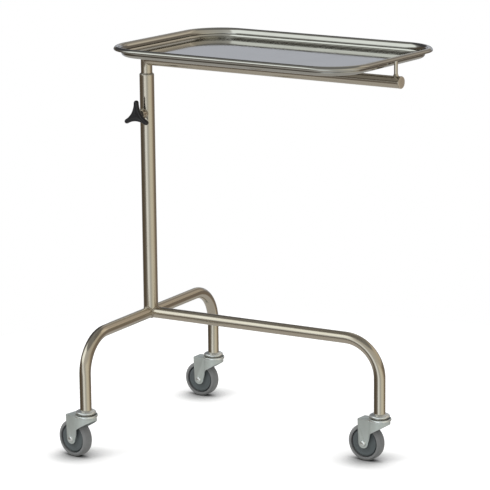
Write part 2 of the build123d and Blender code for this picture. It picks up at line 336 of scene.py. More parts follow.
def rounded(points, radius, steps=4, hold=0.8):
    # closed outline with its corners eased; a third value on a point is its own radius.
    # a point held beside each corner keeps the long runs between corners flat in shading
    result = []
    for k, point in enumerate(points):
        here = Vector(point[:2])
        back = Vector(points[k - 1][:2]) - here
        onward = Vector(points[(k + 1) % len(points)][:2]) - here
        own = point[2] if len(point) > 2 else radius
        corner = back.angle(onward, math.pi)
        if own <= 0 or here.x < 1e-6 or corner > 3.1:
            result.append(tuple(here))
            continue
        reach = min(own / math.tan(corner / 2), back.length * 0.45, onward.length * 0.45)
        centre = here + (back.normalized() + onward.normalized()).normalized() * reach / math.cos(corner / 2)
        start = here + back.normalized() * reach - centre
        end = here + onward.normalized() * reach - centre
        if back.length * 0.45 > reach + hold:
            result.append(tuple(here + back.normalized() * (reach + hold)))
        for step in range(steps + 1):
            blend = start.lerp(end, step / steps)
            result.append(tuple(centre + blend.normalized() * start.length))
        if onward.length * 0.45 > reach + hold:
            result.append(tuple(here + onward.normalized() * (reach + hold)))
    return result


def circle(radius, height, steps):
    # points round Z
    angles = [2 * math.pi * k / steps for k in range(steps)]
    return [(radius * math.cos(a), radius * math.sin(a), height) for a in angles]


def placed(place, points):
    # points in millimetres, carried to their place in the frame
    return [place @ (Vector(point) * mm) for point in points]


def lathe(name, outline, place, finish, steps=64, smoothAngle=35.0):
    # turns a closed (radius, height) outline in millimetres round Z, then places it
    verts, faces = [], []
    count = len(outline)
    for s in range(steps):
        a = 2 * math.pi * s / steps
        for r, z in outline:
            verts.append(place @ Vector((r * mm * math.cos(a), r * mm * math.sin(a), z * mm)))
    for s in range(steps):
        t = (s + 1) % steps
        for k in range(count):
            n = (k + 1) % count
            faces.append((s * count + k, t * count + k, t * count + n, s * count + n))
    return meshObject(name, verts, faces, finish, smoothAngle)


def skin(name, rings, place, finish, smoothAngle=35.0):
    # closed shell through rings of points in millimetres, with a fan over each end
    count = len(rings[0])
    verts = [spot for ring in rings for spot in placed(place, ring)]
    faces = []
    for k in range(len(rings) - 1):
        for i in range(count):
            j = (i + 1) % count
            faces.append((k * count + i, k * count + j, (k + 1) * count + j, (k + 1) * count + i))
    for base in (0, (len(rings) - 1) * count):
        verts.append(sum(verts[base:base + count], Vector()) / count)
        tip = len(verts) - 1
        faces += [(base + i, base + (i + 1) % count, tip) for i in range(count)]
    return meshObject(name, verts, faces, finish, smoothAngle)


def markAlong(piece, rule):
    # stores how far along its tube each point lies, for the polishing lines
    mark = piece.data.attributes.new("along", "FLOAT", "POINT")
    mark.data.foreach_set("value", [rule(vertex.co) for vertex in piece.data.vertices])
    return piece


def shapedMesh(piece):
    # the plain mesh that a piece's modifiers give
    bpy.context.view_layer.update()
    evaluated = piece.evaluated_get(bpy.context.evaluated_depsgraph_get())
    return bpy.data.meshes.new_from_object(evaluated)


def easedCopy(name, node, width, finish, segments=2):
    # a node's own shape with its folds and cut edges rounded
    mesh = frame["nodes"][node].data.copy()
    work = bmesh.new()
    work.from_mesh(mesh)
    bmesh.ops.remove_doubles(work, verts=work.verts, dist=2e-5)
    bmesh.ops.dissolve_limit(work, angle_limit=math.radians(1.5), verts=work.verts, edges=work.edges)
    work.to_mesh(mesh)
    work.free()
    piece = finishMesh(name, mesh, finish)
    ease = piece.modifiers.new("ease", "BEVEL")
    ease.width = width
    ease.segments = segments
    ease.limit_method = "ANGLE"
    ease.angle_limit = math.radians(40)
    ease.harden_normals = False
    ease.use_clamp_overlap = True
    shaped = shapedMesh(piece)
    piece.modifiers.clear()
    bpy.data.objects.remove(piece)
    return finishMesh(name, shaped, finish, 30.0)


def adopt(piece, body, slot, *nodes):
    # hands a finished piece to the frame
    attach(piece, body)
    if nodes:
        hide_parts(*nodes)
    return piece


# geometry nodes: a round tube or rod along a path, with rounded corners
def buildTubeTree():
    group, take, give = newGroup("tubeAlongPath", "Geometry", ("Mesh",), {
        "Path": "Geometry", "Radius": 0.0125, "Bend radius": 0.08, "Bend steps": 24, "Round steps": 48,
        "Material": "Material"})
    fillet = addNode(group, "GeometryNodeFilletCurve", mode="POLY", Curve=take["Path"],
                     Radius=take["Bend radius"], Count=take["Bend steps"])
    length = group.nodes.new("GeometryNodeSplineParameter").outputs["Length"]
    along = addNode(group, "GeometryNodeStoreNamedAttribute", data_type="FLOAT", domain="POINT",
                    Name="along", Geometry=fillet.outputs["Curve"], Value=length)
    profile = addNode(group, "GeometryNodeCurvePrimitiveCircle", Radius=take["Radius"],
                      Resolution=take["Round steps"])
    sweep = addNode(group, "GeometryNodeCurveToMesh", Fill_Caps=True, Curve=along.outputs["Geometry"],
                    Profile_Curve=profile.outputs["Curve"])
    finishTree(group, sweep.outputs["Mesh"], take, give)
    return group


def finishTree(group, geometry, take, give):
    real = addNode(group, "GeometryNodeRealizeInstances", Geometry=geometry)
    coat = addNode(group, "GeometryNodeSetMaterial", Geometry=real.outputs["Geometry"],
                   Material=take["Material"])
    feed(group, give["Mesh"], coat.outputs["Geometry"])


def buildBeadTree():
    # a weld bead: a rod along a path that swells and wanders a little, in even ripples
    group, take, give = newGroup("weldBead", "Geometry", ("Mesh",), {
        "Path": "Geometry", "Radius": 0.0016, "Ripple": 0.0016, "Depth": 0.1, "Wander": 0.0003,
        "Seed": 1.0, "Material": "Material"})
    even = addNode(group, "GeometryNodeResampleCurve", mode="LENGTH", Curve=take["Path"],
                   Length=mathNode(group, "DIVIDE", take["Ripple"], 4.0))
    length = group.nodes.new("GeometryNodeSplineParameter").outputs["Length"]
    turns = times(group, mathNode(group, "DIVIDE", length, take["Ripple"]), 2 * math.pi)
    swell = times(group, mathNode(group, "SINE", turns), take["Depth"])
    noise = addNode(group, "ShaderNodeTexNoise", noise_dimensions="4D", Scale=160.0, Detail=1.0,
                    W=take["Seed"])
    centred = addNode(group, "ShaderNodeVectorMath", noise.outputs["Color"], (0.5, 0.5, 0.5),
                      operation="SUBTRACT")
    stray = addNode(group, "ShaderNodeVectorMath", centred.outputs[0], operation="SCALE",
                    Scale=take["Wander"])
    moved = addNode(group, "GeometryNodeSetPosition", Geometry=even.outputs["Curve"],
                    Offset=stray.outputs[0])
    profile = addNode(group, "GeometryNodeCurvePrimitiveCircle", Resolution=14, Radius=take["Radius"])
    size = mathNode(group, "ADD", swell, mathNode(group, "ADD", noise.outputs["Fac"], 0.5))
    sweep = addNode(group, "GeometryNodeCurveToMesh", Fill_Caps=True, Curve=moved.outputs["Geometry"],
                    Profile_Curve=profile.outputs["Curve"], Scale=size)
    finishTree(group, sweep.outputs["Mesh"], take, give)
    return group


def buildBallTree():
    # bearing balls spaced round a circle
    group, take, give = newGroup("ballRing", "Geometry", ("Mesh",), {
        "Path": "Geometry", "Balls": 18, "Ring radius": 0.0168, "Ball radius": 0.0021,
        "Material": "Material"})
    ring = addNode(group, "GeometryNodeCurvePrimitiveCircle", Resolution=take["Balls"],
                   Radius=take["Ring radius"])
    ball = addNode(group, "GeometryNodeMeshUVSphere", Segments=14, Rings=9, Radius=take["Ball radius"])
    spread = addNode(group, "GeometryNodeInstanceOnPoints", Points=ring.outputs["Curve"],
                     Instance=ball.outputs["Mesh"])
    finishTree(group, spread.outputs["Instances"], take, give)
    return group


tubeTree = buildTubeTree()
beadTree = buildBeadTree()
ballTree = buildBallTree()


def runTree(tree, base, values, name):
    # evaluates a tree on a base object once, and keeps only the plain mesh
    modifier = base.modifiers.new("shape", "NODES")
    modifier.node_group = tree
    for item in tree.interface.items_tree:
        if item.in_out == "INPUT" and item.name in values:
            modifier[item.identifier] = values[item.name]
    mesh = shapedMesh(base)
    mesh.name = name
    base.modifiers.remove(modifier)
    bpy.data.objects.remove(base)
    return mesh


def pathObject(points, closed=False):
    data = bpy.data.curves.new("path", "CURVE")
    data.dimensions = "3D"
    spline = data.splines.new("POLY")
    spline.points.add(len(points) - 1)
    for slot, point in zip(spline.points, points):
        slot.co = (*point, 1)
    spline.use_cyclic_u = closed
    return addObject("path", data)


def tubePiece(name, points, radius, bend, finish, closed=False, roundSteps=48, bendSteps=24):
    mesh = runTree(tubeTree, pathObject(points, closed), {
        "Radius": radius, "Bend radius": bend, "Bend steps": bendSteps,
        "Round steps": roundSteps, "Material": finishes[finish],
    }, name)
    return finishMesh(name, mesh, finish, 40.0)


def weldPiece(name, points, radius, closed=False, seed=1.0, ripple=1.7 * mm, depth=0.09):
    mesh = runTree(beadTree, pathObject(points, closed), {
        "Radius": radius, "Ripple": ripple, "Depth": depth, "Wander": radius * 0.25,
        "Seed": seed, "Material": finishes["weld"],
    }, name)
    return finishMesh(name, mesh, "weld", 60.0)


# base frame
tubeRadius = boxSize("arm_end_cap").z / 2
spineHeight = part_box("cross_tube")[1].z - tubeRadius
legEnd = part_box("cross_tube")[0].z
baseSizes = {"bendRadius": 80 * mm, "bead": 2.1 * mm, "lowBead": 1.7 * mm}


def baseTubes():
    low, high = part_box("cross_tube")
    x = columnAxis.x
    left, right = high.y - tubeRadius, low.y + tubeRadius
    cross = tubePiece("crossTube", [
        (x, right, legEnd), (x, right, spineHeight), (x, left, spineHeight), (x, left, legEnd),
    ], tubeRadius, baseSizes["bendRadius"], "satin_tube")
    adopt(cross, "frame", "satin_tube", "cross_tube")
    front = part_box("spine_tube")[1].x - tubeRadius
    spine = tubePiece("spineTube", [
        (x + tubeRadius * 0.3, 0, spineHeight), (front, 0, spineHeight), (front, 0, legEnd),
    ], tubeRadius, baseSizes["bendRadius"], "satin_tube")
    adopt(spine, "frame", "satin_tube", "spine_tube")


columnSizes = {"radius": 16.0, "bore": 14.5, "footAbove": 0.5}


def columnTube():
    top = heights("column_tube")[1]
    foot = spineHeight / mm + columnSizes["footAbove"]
    column = lathe("columnTube", rounded([
        (columnSizes["bore"], foot, 0), (columnSizes["radius"], foot, 0.4),
        (columnSizes["radius"], top, 0.3), (columnSizes["bore"], top, 0),
    ], 0.3), Matrix.Translation(columnAxis), "satin_tube", steps=96)
    markAlong(column, lambda spot: spot.z)
    adopt(column, "frame", "satin_tube", "column_tube")


def baseWelds():
    # bead where the column saddles both bars, and the one that joins the bars below
    big, small = columnSizes["radius"] * mm, tubeRadius
    corner = math.sqrt(big ** 2 / 2)
    side, steps = [], 14
    for k in range(steps + 1):              # over the cross bar on the +Y side, back to front
        x = -small + (corner + small) * k / steps
        side.append((x, math.sqrt(big ** 2 - x ** 2), math.sqrt(max(small ** 2 - x ** 2, 0))))
    path = list(side)
    for k in range(1, 2 * steps):           # over the spine from left to right
        y = corner - 2 * corner * k / (2 * steps)
        path.append((math.sqrt(big ** 2 - y ** 2), y, math.sqrt(small ** 2 - y ** 2)))
    path += [(x, -y, z) for x, y, z in reversed(side)]
    edge = math.sqrt(big ** 2 - small ** 2)
    for k in range(1, 8):                   # along the column's foot behind the cross bar
        y = -edge + 2 * edge * k / 8
        path.append((-math.sqrt(small ** 2 + edge ** 2 - y ** 2) + 0.6 * mm, y, 0))
    base = Vector((columnAxis.x, 0, spineHeight))
    upper = weldPiece("columnWeld", [base + Vector(p) for p in path], baseSizes["bead"], closed=True)
    adopt(upper, "frame", "satin_tube")
    under = []
    for sign in (1, -1):
        run = []
        for k in range(16):
            a = math.radians(-24 + 114 * k / 15)
            run.append((small * math.cos(a), sign * small * math.cos(a), -small * math.sin(a)))
        under += run if sign > 0 else list(reversed(run))[1:]
    lower = weldPiece("barWeld", [base + Vector(p) for p in under], baseSizes["lowBead"], seed=4.0)
    adopt(lower, "frame", "satin_tube")


baseTubes()
columnTube()
baseWelds()
print("base and column made")

# collar, clamp boss, stud and knob
collarSizes = {"grip": 60.0, "lip": 4.5, "chamfer": 3.0, "bore": 12.6}


def guideCollar():
    lipTop = heights("guide_bush")[1]
    top = lipTop - collarSizes["lip"]
    radius, bore = columnSizes["radius"], columnSizes["bore"]
    collar = lathe("guideCollar", rounded([
        (collarSizes["bore"], top - collarSizes["grip"], 0.3), (bore, top - collarSizes["grip"], 0.3),
        (bore, top, 0), (radius, top, 0.15), (radius, lipTop - collarSizes["chamfer"], 0.9),
        (radius - collarSizes["chamfer"], lipTop, 0.7), (collarSizes["bore"], lipTop, 0.2),
    ], 0.3), Matrix.Translation(columnAxis), "collar_steel", steps=96, smoothAngle=50)
    adopt(collar, "frame", "collar_steel", "guide_bush")


clampHeight = boxCentre("clamp_boss").z
clampPlace = (Matrix.Translation(columnAxis + Vector((0, 0, clampHeight)))
              @ turned(90, "X"))
clampSizes = {
    "bossRadius": 8.5, "bossReach": 12.0, "bore": 5.1, "bead": 1.6, "beadRadius": 9.3,
    "beadRise": 0.7, "sunk": 0.8, "bossFoot": 13.0, "thread": 0.55,
    "studRadius": 5.0, "threadPitch": 1.5, "threadFrom": 27.0, "threadTo": 33.0,
}


def clampBoss():
    radius, end = clampSizes["bossRadius"], columnSizes["radius"] + clampSizes["bossReach"]
    foot, bore = clampSizes["bossFoot"], clampSizes["bore"]
    boss = lathe("clampBoss", rounded([
        (bore, foot, 0), (radius + 1.2, foot, 0), (radius + 0.5, foot + 4.0, 1), (radius, foot + 5.6, 1),
        (radius, end, 0.8), (bore + 0.7, end, 0.1), (bore, end - 0.7, 0.1),
    ], 0.3), clampPlace, "satin_tube", steps=56)
    saddle = (columnSizes["radius"] - clampSizes["sunk"]) * mm
    for vertex in boss.data.vertices:       # the foot follows the column's wall, clear of its bore
        x, y = vertex.co.x - columnAxis.x, vertex.co.y - columnAxis.y
        if x ** 2 + y ** 2 < saddle ** 2:
            vertex.co.y = columnAxis.y - math.sqrt(saddle ** 2 - x ** 2)
    markAlong(boss, lambda spot: spot.y)
    adopt(boss, "frame", "satin_tube", "clamp_boss")
    path = []
    for x, z, level in circle(clampSizes["beadRadius"], 0, 48):
        y = -math.sqrt((columnSizes["radius"] + clampSizes["beadRise"]) ** 2 - x ** 2)
        path.append(columnAxis + Vector((x * mm, y * mm, clampHeight + z * mm)))
    bead = weldPiece("bossWeld", path, clampSizes["bead"] * mm, closed=True, seed=7.0)
    adopt(bead, "frame", "satin_tube")


def clampStud():
    start, end = sorted(-corner.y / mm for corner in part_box("clamp_stud"))
    thread, pitch = clampSizes["thread"], clampSizes["threadPitch"]
    core = clampSizes["studRadius"] - thread
    stud = lathe("clampStud", rounded([
        (0, start), (core - 0.6, start, 0.3), (core, start + 0.8, 0.2), (core, end, 0.2), (0, end),
    ], 0.2), clampPlace, "pin_steel", steps=40)
    adopt(stud, "clamp_handle", "pin_steel", "clamp_stud")
    turns = (clampSizes["threadTo"] - clampSizes["threadFrom"]) / pitch
    path = []
    for k in range(int(turns * 24) + 1):
        a = 2 * math.pi * k / 24
        path.append((core * math.cos(a), core * math.sin(a), clampSizes["threadFrom"] + pitch * k / 24))
    ridge = tubePiece("studThread", placed(clampPlace, path), thread * mm, 0, "pin_steel",
                      roundSteps=6)
    adopt(ridge, "clamp_handle", "pin_steel")


knobSizes = {
    "start": 31.0, "neck": 9.0, "neckRadius": 8.5, "thickness": 10.0, "lobeRadius": 5.0,
    "radius": 33.0, "waist": 12.5, "arcSteps": 12,
}


def knobRing(inset, height, scale=1.0):
    # outline of the three lobes and hollow sides, set in by a distance
    lobe, waist, steps = knobSizes["lobeRadius"], knobSizes["waist"], knobSizes["arcSteps"]
    reach = knobSizes["radius"] - lobe
    hollow = (reach ** 2 + waist ** 2 - reach * waist - lobe ** 2) / (reach + 2 * lobe - 2 * waist)
    points = []
    for k in range(3):
        turn = math.radians(90 + 120 * k)
        tip = Vector((reach * math.cos(turn), reach * math.sin(turn)))
        side = turn + math.radians(60)
        pit = Vector((math.cos(side), math.sin(side))) * (hollow + waist)
        toPit = pit - tip
        spread = math.atan2(toPit.y, toPit.x) - turn
        spread = (spread + math.pi) % (2 * math.pi) - math.pi
        for i in range(steps):
            a = turn - spread + 2 * spread * i / (steps - 1)
            points.append(tip + Vector((math.cos(a), math.sin(a))) * (lobe - inset))
        fromPit = side + math.pi
        half = abs((math.atan2(-toPit.y, -toPit.x) - fromPit + math.pi) % (2 * math.pi) - math.pi)
        for i in range(1, steps - 1):
            a = fromPit + half - 2 * half * i / (steps - 1)
            points.append(pit + Vector((math.cos(a), math.sin(a))) * (hollow + inset))
    return [(p.x * scale, p.y * scale, height) for p in points]


def clampKnob():
    start, neck = knobSizes["start"], knobSizes["neckRadius"]
    back = start + knobSizes["neck"]
    face = back + knobSizes["thickness"]
    angles = [math.atan2(y, x) for x, y, z in knobRing(0, 0)]
    rings = [[(r * math.cos(a), r * math.sin(a), z) for a in angles] for r, z in (
        (5.4, start + 0.6), (5.8, start), (neck - 0.8, start), (neck - 0.2, start + 0.3),
        (neck, start + 1.0), (neck, back - 1.6), (neck + 0.3, back - 0.5), (neck + 0.9, back + 0.1))]
    for inset, height in ((2.6, back), (1.7, back + 0.25), (0.9, back + 0.8), (0.3, back + 1.7),
                          (0.0, back + 3.0), (0.0, face - 4.2), (0.25, face - 2.9), (0.8, face - 1.7),
                          (1.7, face - 0.75), (2.7, face - 0.2), (3.7, face)):
        rings.append(knobRing(inset, height))
    for scale, height in ((0.85, face - 0.1), (0.6, face - 0.4), (0.3, face - 0.7)):
        rings.append(knobRing(3.7, height, scale))
    knob = skin("clampKnob", rings, clampPlace, "knob_black", 45.0)
    adopt(knob, "clamp_handle", "knob_black", "clamp_knob")


guideCollar()
clampBoss()
clampStud()
clampKnob()
print("collar and clamp made")

# inner column and arm: one mitred tube, with its end cap
armHeight = boxCentre("arm_end_cap").z
mastSizes = {"capThickness": 2.0, "sides": 64, "mitreBead": 0.8, "capBead": 0.7}


def capFace():
    # distance from the column's axis to the arm's end
    cap = boxCentre("arm_end_cap") - columnAxis
    turn = math.atan2(cap.y, cap.x)
    span = boxSize("arm_end_cap").x - 2 * tubeRadius * abs(math.sin(turn))
    return (cap.xy.length + span / math.cos(turn) / 2) / mm


def mastTube():
    radius, height, sides = tubeRadius / mm, armHeight / mm, mastSizes["sides"]
    foot, end = heights("inner_column")[0], capFace() - mastSizes["capThickness"]
    rings = [circle(radius - shrink, z, sides) for z, shrink in (
        (foot, 1.0), (foot + 1.0, 0), (foot + 2.0, 0), (height - 60, 0), (height - 18, 0))]
    mitre = [(x, y, height - x) for x, y, level in circle(radius, 0, sides)]
    rings.append(mitre)
    for reach, shrink in ((18, 0), (60, 0), (end / 2, 0), (end - 1.4, 0), (end - 0.6, 0), (end, 0.5)):
        rings.append([(reach, y, height - x) for x, y, level in circle(radius - shrink, 0, sides)])
    mast = skin("mastTube", rings, armPlace, "satin_tube", 40.0)
    back = armPlace.inverted()

    def distance(spot):
        spot = back @ spot
        return spot.z if spot.z < armHeight - spot.x else armHeight + spot.x

    markAlong(mast, distance)
    adopt(mast, "mast", "satin_tube", "inner_column", "arm_tube")
    seam = weldPiece("mitreWeld", placed(armPlace, mitre), mastSizes["mitreBead"] * mm,
                     closed=True, seed=11.0)
    adopt(seam, "mast", "satin_tube")


def armCap():
    radius, end = tubeRadius / mm, capFace()
    place = armPlace @ Matrix.Translation((0, 0, armHeight)) @ turned(90, "Y")
    low = end - mastSizes["capThickness"]
    cap = lathe("armCap", rounded([
        (0, low - 3), (radius - 1.6, low - 3, 0.3), (radius - 1.6, low - 0.2, 0),
        (radius - 0.1, low + 0.1, 0.2), (radius - 0.1, end - 0.4, 0.5), (radius - 3.5, end, 2), (0, end),
    ], 0.3), place, "cut_steel", steps=64)
    adopt(cap, "mast", "satin_tube", "arm_end_cap")
    seam = weldPiece("capWeld", placed(place, circle(radius - 0.35, low, 64)), mastSizes["capBead"] * mm,
                     closed=True, seed=13.0)
    adopt(seam, "mast", "satin_tube")


# tray, and the rod ring on two posts that carries it
traySizes = {
    "length": 615.0, "width": 405.0, "corner": 92.0, "depth": 21.0, "sheet": 1.2, "rimWidth": 15.5,
    "rimRise": 5.0, "lip": 7.5, "wallLean": 2.0, "bottomRadius": 7.0, "cornerSteps": 26, "hold": 8.0,
    "fromColumn": 327.0,
}
ringHeight = boxCentre("tray_ring").z
trayPlace = armPlace @ Matrix.Translation(
    (traySizes["fromColumn"] * mm, 0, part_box("tray")[1].z))
ringSizes = {"rod": 3.0, "inset": 7.75, "post": 4.0, "footFlare": 3.2, "headFlare": 1.3}


def trayRing():
    half = (traySizes["length"] / 2 - ringSizes["inset"], traySizes["width"] / 2 - ringSizes["inset"])
    drop = ringHeight - trayPlace.translation.z
    corners = [trayPlace @ Vector((sx * half[0] * mm, sy * half[1] * mm, drop))
               for sx, sy in ((1, -1), (1, 1), (-1, 1), (-1, -1))]
    ringRod = tubePiece("trayRing", corners, ringSizes["rod"] * mm,
                        (traySizes["corner"] - ringSizes["inset"]) * mm, "satin_tube",
                        closed=True, roundSteps=20)
    adopt(ringRod, "mast", "satin_tube", "tray_ring")


def ringPosts():
    post, foot, head = ringSizes["post"], ringSizes["footFlare"], ringSizes["headFlare"]
    armTop, top = (armHeight + tubeRadius) / mm, ringHeight / mm
    outline = rounded([
        (0, armTop - 5), (post + foot, armTop - 5, 0), (post + foot - 0.2, armTop - 1.2, 1),
        (post + foot * 0.45, armTop + 1.2, 1.5), (post, armTop + 4.6, 3), (post, top - 4.5, 2),
        (post + head, top - 1.2, 0.8), (post + head - 0.5, top + 1.0, 0.6), (0, top + 1.0),
    ], 0.3)
    for node in ("rear_ring_post", "front_ring_post"):
        spot = boxCentre(node)
        made = lathe(node.replace("_ring_post", "RingPost"), outline,
                     Matrix.Translation((spot.x, spot.y, 0)), "satin_tube", steps=40)
        markAlong(made, lambda place: place.z)
        adopt(made, "mast", "satin_tube", node)


def trayProfile():
    # upper face as (inset, height) points from the flat floor out to the lip
    s = traySizes
    floor = s["sheet"] - s["depth"]
    domeRadius = (s["rimWidth"] ** 2 / 4 + s["rimRise"] ** 2) / (2 * s["rimRise"])
    edge = s["rimWidth"] + s["wallLean"] + 14
    corner = [(edge, floor), (s["rimWidth"] + s["wallLean"], floor),
              (s["rimWidth"] + 0.15, -s["rimRise"] - 1)]
    bend = rounded([(p[0] + 100, p[1], s["bottomRadius"]) for p in corner], 0, steps=10, hold=50)
    upper = [corner[0]] + [(x - 100, z) for x, z in bend if 0.01 < z - floor < 7.5 or abs(z - floor) < 1e-6]
    upper = sorted(set((round(x, 5), round(z, 5)) for x, z in upper), key=lambda p: (-p[0], p[1]))
    upper = [(edge + 60, floor), (edge + 8, floor)] + upper
    upper += [(s["rimWidth"] + x, z) for x, z in
              ((1.85, -13.0), (1.7, -11.4), (1.4, -9.8), (0.95, -8.0), (0.4, -6.2))]
    reach = math.degrees(math.asin((s["rimWidth"] / 2) / domeRadius))
    dome = arcPoints((s["rimWidth"] / 2, -domeRadius), domeRadius, 90 - reach + 4, 90 + reach, 18)
    upper += dome
    upper += [(0.0, -s["rimRise"] - 0.7), (0.0, -s["lip"] + s["sheet"] / 2)]
    return upper


def trayShell():
    # one pressed sheet, from its floor over the rolled rim to the hem and back underneath
    s = traySizes
    upper = trayProfile()
    under = []
    for k, (x, z) in enumerate(upper):
        ahead, behind = upper[min(k + 1, len(upper) - 1)], upper[max(k - 1, 0)]
        run = Vector((ahead[0] - behind[0], ahead[1] - behind[1])).normalized()
        under.append((x - run.y * s["sheet"], z + run.x * s["sheet"]))
    hem = arcPoints((s["sheet"] / 2, -s["lip"] + s["sheet"] / 2), s["sheet"] / 2, 180, 360, 8)[1:-1]
    profile = upper + hem + under[::-1]
    rings = []
    for inset, height in profile:
        r = s["corner"] - inset
        ring = []
        for quarter, (sx, sy) in enumerate(((1, 1), (-1, 1), (-1, -1), (1, -1))):
            x, y = sx * (s["length"] / 2 - s["corner"]), sy * (s["width"] / 2 - s["corner"])
            for k in range(-1, s["cornerSteps"] + 2):
                a = math.radians(90 * (quarter + min(max(k / s["cornerSteps"], 0), 1)))
                lead = s["hold"] * ((k > s["cornerSteps"]) - (k < 0))
                ring.append((x + r * math.cos(a) - lead * math.sin(a),
                             y + r * math.sin(a) + lead * math.cos(a), height))
        rings.append(ring)
    shell = skin("trayShell", rings, trayPlace, "tray_steel", 50.0)
    adopt(shell, "tray", "tray_steel", "tray")


mastTube()
armCap()
trayRing()
ringPosts()
trayShell()
print("mast and tray made")

# casters
casterSizes = {
    "trail": (boxCentre("left_kingpin") - boxCentre("left_axle_sleeve")).xy.length / mm,
    "axle": boxCentre("left_axle_sleeve").z / mm, "forkFace": 15.0, "boltRadius": 4.0, "headRadius": 6.5,
    "headHeight": 4.0, "nutFlats": 13.0, "nutHeight": 6.0, "forkEase": 0.7,
    "raceRadius": 22.0, "raceHub": 15.0, "dishRadius": 25.0, "legEnd": legEnd / mm,
    "raceLow": heights("left_top_race")[0], "pinSpan": heights("left_kingpin"),
    "ballSpan": heights("left_bearing_ring"), "ball": 1.7, "balls": 20, "ballCircle": 17.0,
}
tyreSizes = {
    "radius": boxSize("left_tyre").z / 2 / mm, "inner": boxSize("left_wheel_hub").z / 2 / mm,
    "halfWidth": 12.0, "shoulder": 3.0, "crown": 0.3,
}
hubSizes = {"bore": 5.6, "boss": 12.0, "bossHeight": 12.5, "web": 9.5, "groove": 3.0, "grooveDepth": 6.5}


def wheelPlace(corner):
    axle = Matrix.Translation((-casterSizes["trail"] * mm, 0, casterSizes["axle"] * mm))
    return casterPlace(corner) @ axle @ turned(-90, "X")


def wheelTyre(corner):
    s = tyreSizes
    side, inner, edge = s["halfWidth"], s["inner"], s["radius"] - s["shoulder"]
    half = [(inner, side, 0.4), (edge - 0.6, side, 1.2), (s["radius"] - s["crown"], side - 3.4, 2.6)]
    outline = ([(inner, -side, 0.4), (edge - 0.6, -side, 1.2), (s["radius"] - s["crown"], -side + 3.4, 2.6),
                (s["radius"], -3, 2), (s["radius"], 3, 2)] + half[::-1])
    made = lathe(corner + "Tyre", rounded(outline, 1.0, steps=5), wheelPlace(corner),
                 "tyre_grey", steps=96)
    adopt(made, corner + "_wheel", "tyre_grey", corner + "_tyre")


def wheelHub(corner):
    s = hubSizes
    rim = tyreSizes["inner"]
    half = [
        (s["bore"], s["bossHeight"], 0.4), (s["boss"] - 0.6, s["bossHeight"], 0.9),
        (s["boss"] + 0.5, s["web"] - 0.4, 1.2), (rim - 8.5, s["web"] - 0.7, 2), (rim - 7.2, s["web"], 1.2),
        (rim - s["groove"], s["web"], 0.6), (rim - s["groove"], s["web"] - s["grooveDepth"], 0.3),
        (rim + 0.3, s["web"] - s["grooveDepth"], 0.1),
    ]
    mirrored = [(p[0], -p[1], p[2]) for p in reversed(half)]
    made = lathe(corner + "Hub", rounded(half + mirrored, 0.4), wheelPlace(corner),
                 "hub_plastic", steps=80)
    adopt(made, corner + "_wheel", "hub_plastic", corner + "_wheel_hub")


def axleFasteners(corner):
    s = casterSizes
    place, face, head, shank = wheelPlace(corner), s["forkFace"], s["headRadius"], s["boltRadius"]
    end = face + s["nutHeight"] + 2
    bolt = lathe(corner + "AxleBolt", rounded([
        (0, -face - s["headHeight"]), (2.4, -face - s["headHeight"] + 0.1, 1.5),
        (4.9, -face - 3.1, 1.5), (head - 0.2, -face - 1.5, 1.2), (head, -face, 0.2),
        (shank, -face, 0), (shank, end - 0.8, 0.1), (shank - 0.8, end, 0.1), (0, end),
    ], 0.3), place, "polished_zinc", steps=40)
    adopt(bolt, corner + "_swivel", "bright_zinc", corner + "_axle_bolt")
    sides, rings, flat = 48, [], s["nutFlats"] / 2
    for height, cone in ((0, 1.04), (0.5, 1.1), (0.9, 1.16), (3.9, 1.16), (4.3, 1.1), (4.8, 1.02)):
        ring = []
        for k in range(sides):
            a = 2 * math.pi * k / sides
            hexagon = flat / math.cos((a + math.pi / 6) % (math.pi / 3) - math.pi / 6)
            r = min(hexagon, flat * cone)
            ring.append((r * math.cos(a), r * math.sin(a), face + height))
        rings.append(ring)
    rings += [circle(flat * r, face + height, sides) for r, height in (
        (0.9, 4.8), (0.88, 5.6), (0.82, s["nutHeight"]), (0.66, s["nutHeight"]))]
    nut = skin(corner + "AxleNut", rings, place, "polished_zinc", 25.0)
    adopt(nut, corner + "_swivel", "bright_zinc", corner + "_axle_nut")


